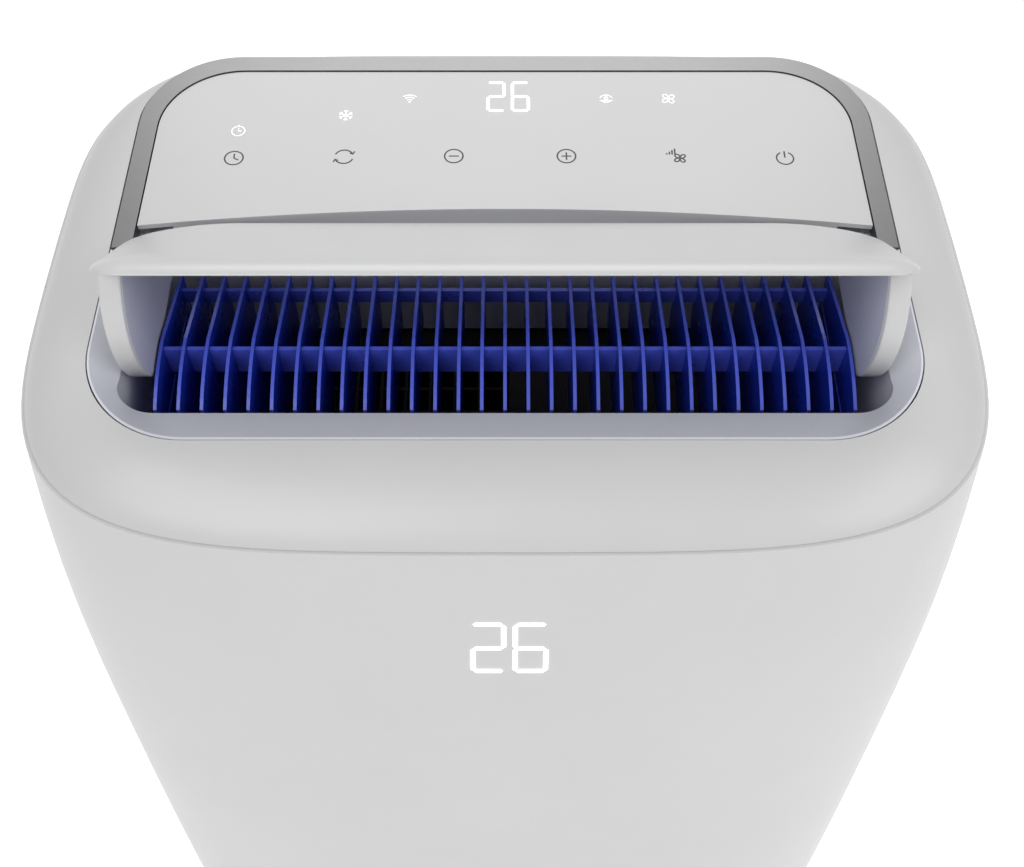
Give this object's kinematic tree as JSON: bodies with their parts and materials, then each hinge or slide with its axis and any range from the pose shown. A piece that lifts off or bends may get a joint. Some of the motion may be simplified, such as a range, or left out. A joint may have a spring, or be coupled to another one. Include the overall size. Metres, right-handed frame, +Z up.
{
  "type": "portable air conditioner",
  "caption": "Upright portable air conditioner with a lift-up top flap over a swinging blue vane grille, touch panel, rear exhaust collar and swivel casters.",
  "frame": {"origin": "centre of the footprint box on the floor, under the unit standing on its casters", "axes": "+X to the unit's left-hand side as seen from behind (right as seen from the front), +Y to the back with the exhaust collar, +Z up"},
  "size_m": [0.4675, 0.3971, 0.7911],
  "materials": {
    "casing_white": "satin moulded",
    "flap_white": "satin moulded",
    "casing_grey": "fine texture",
    "panel_grey": "smooth satin",
    "trim_satin": "satin plated",
    "frame_lilac_grey": "fine matte texture",
    "vane_blue": "semi-gloss translucent blue",
    "dark_plastic": "matte",
    "charcoal_plastic": "matte",
    "circuit_board": "solder mask",
    "sheet_steel": "galvanised",
    "compressor_black": "semi-gloss paint",
    "soft_rubber": "matte",
    "zinc_steel": "zinc plated",
    "copper_pipe": "drawn copper",
    "fin_aluminium": "thin sheet fins",
    "filter_mesh": "fine nylon mesh",
    "caster_plastic": "moulded nylon",
    "caster_tread": "hard tread"
  },
  "bodies": {
    "cabinet": {"accumulator": "compressor_black", "base_pan": "sheet_steel", "capillary_pipe": "copper_pipe", "caster_sockets": "dark_plastic", "compressor": "compressor_black", "compressor_foot_plate": "compressor_black", "condenser_coil": "fin_aluminium", "control_box": "sheet_steel", "control_box_lid": "sheet_steel", "control_panel": "panel_grey", "cord_inlet": "dark_plastic", "discharge_pipe": "copper_pipe", "drain_spouts": "casing_grey", "drip_tray": "dark_plastic", "duct_baffle": "charcoal_plastic", "evaporator_coil": "fin_aluminium", "exhaust_collar": "casing_grey", "flap_motor": "zinc_steel", "float_switch": "charcoal_plastic", "front_display": "dark_plastic", "front_shell": "casing_white", "handle_cups": "casing_grey", "lower_blower_housing": "dark_plastic", "lower_fan_motor": "zinc_steel", "main_board": "circuit_board", "mount_bolts": "zinc_steel", "outlet_duct": "dark_plastic", "outlet_frame": "frame_lilac_grey", "outlet_guard": "dark_plastic", "panel_board": "circuit_board", "partition_plate": "sheet_steel", "rear_shell": "casing_white", "rubber_mounts": "soft_rubber", "run_capacitor": "fin_aluminium", "suction_pipe": "copper_pipe", "swing_motor": "zinc_steel", "top_cover": "casing_white", "trim_bezel": "trim_satin", "upper_blower_housing": "dark_plastic", "upper_fan_motor": "zinc_steel"},
    "flap": {"air_flap": "flap_white"},
    "swing_grille": {"swing_grille": "vane_blue"},
    "upper_wheel": {"upper_blower_wheel": "charcoal_plastic", "upper_fan_shaft": "zinc_steel"},
    "lower_wheel": {"lower_blower_wheel": "charcoal_plastic", "lower_fan_shaft": "zinc_steel"},
    "upper_filter_door": {"upper_intake_grille": "casing_white", "upper_air_filter": "filter_mesh"},
    "lower_filter_door": {"lower_intake_grille": "casing_white", "lower_air_filter": "filter_mesh"},
    "upper_plug": {"upper_drain_plug": "soft_rubber"},
    "lower_plug": {"lower_drain_plug": "soft_rubber"},
    "fork_front_left": {"caster_fork_front_left": "caster_plastic"},
    "wheel_front_left": {"caster_wheel_front_left": "caster_tread"},
    "fork_front_right": {"caster_fork_front_right": "caster_plastic"},
    "wheel_front_right": {"caster_wheel_front_right": "caster_tread"},
    "fork_rear_left": {"caster_fork_rear_left": "caster_plastic"},
    "wheel_rear_left": {"caster_wheel_rear_left": "caster_tread"},
    "fork_rear_right": {"caster_fork_rear_right": "caster_plastic"},
    "wheel_rear_right": {"caster_wheel_rear_right": "caster_tread"}
  },
  "joints": [
    {"name": "flap_hinge", "type": "hinge", "parent": "cabinet", "child": "flap", "pos_m": [0, -0.01656, 0.72715], "axis": [1, 0, 0], "range_deg": [0, 37.5]},
    {"name": "grille_swing", "type": "hinge", "parent": "cabinet", "child": "swing_grille", "pos_m": [0, -0.0603, 0.65851], "axis": [1, 0, 0], "range_deg": [-10, 10]},
    {"name": "upper_wheel_spin", "type": "hinge", "parent": "cabinet", "child": "upper_wheel", "pos_m": [-0.04, -0.043, 0.478], "axis": [0, 1, 0], "continuous": true},
    {"name": "lower_wheel_spin", "type": "hinge", "parent": "cabinet", "child": "lower_wheel", "pos_m": [0.084, -0.08, 0.206], "axis": [0, 1, 0], "continuous": true},
    {"name": "upper_filter_pull", "type": "slide", "parent": "cabinet", "child": "upper_filter_door", "axis": [0, 1, 0], "range_m": [0, 0.08]},
    {"name": "lower_filter_pull", "type": "slide", "parent": "cabinet", "child": "lower_filter_door", "axis": [0, 1, 0], "range_m": [0, 0.08]},
    {"name": "upper_plug_pull", "type": "slide", "parent": "cabinet", "child": "upper_plug", "axis": [0, 1, 0], "range_m": [0, 0.03]},
    {"name": "lower_plug_pull", "type": "slide", "parent": "cabinet", "child": "lower_plug", "axis": [0, 1, 0], "range_m": [0, 0.03]},
    {"name": "swivel_front_left", "type": "hinge", "parent": "cabinet", "child": "fork_front_left", "pos_m": [-0.168, -0.12, 0.044], "axis": [0, 0, 1], "continuous": true},
    {"name": "spin_front_left", "type": "hinge", "parent": "fork_front_left", "child": "wheel_front_left", "pos_m": [-0.168, -0.106, 0.02], "axis": [1, 0, 0], "continuous": true},
    {"name": "swivel_front_right", "type": "hinge", "parent": "cabinet", "child": "fork_front_right", "pos_m": [0.168, -0.12, 0.044], "axis": [0, 0, 1], "continuous": true},
    {"name": "spin_front_right", "type": "hinge", "parent": "fork_front_right", "child": "wheel_front_right", "pos_m": [0.168, -0.106, 0.02], "axis": [1, 0, 0], "continuous": true},
    {"name": "swivel_rear_left", "type": "hinge", "parent": "cabinet", "child": "fork_rear_left", "pos_m": [-0.168, 0.098, 0.044], "axis": [0, 0, 1], "continuous": true},
    {"name": "spin_rear_left", "type": "hinge", "parent": "fork_rear_left", "child": "wheel_rear_left", "pos_m": [-0.168, 0.112, 0.02], "axis": [1, 0, 0], "continuous": true},
    {"name": "swivel_rear_right", "type": "hinge", "parent": "cabinet", "child": "fork_rear_right", "pos_m": [0.168, 0.098, 0.044], "axis": [0, 0, 1], "continuous": true},
    {"name": "spin_rear_right", "type": "hinge", "parent": "fork_rear_right", "child": "wheel_rear_right", "pos_m": [0.168, 0.112, 0.02], "axis": [1, 0, 0], "continuous": true}
  ]
}
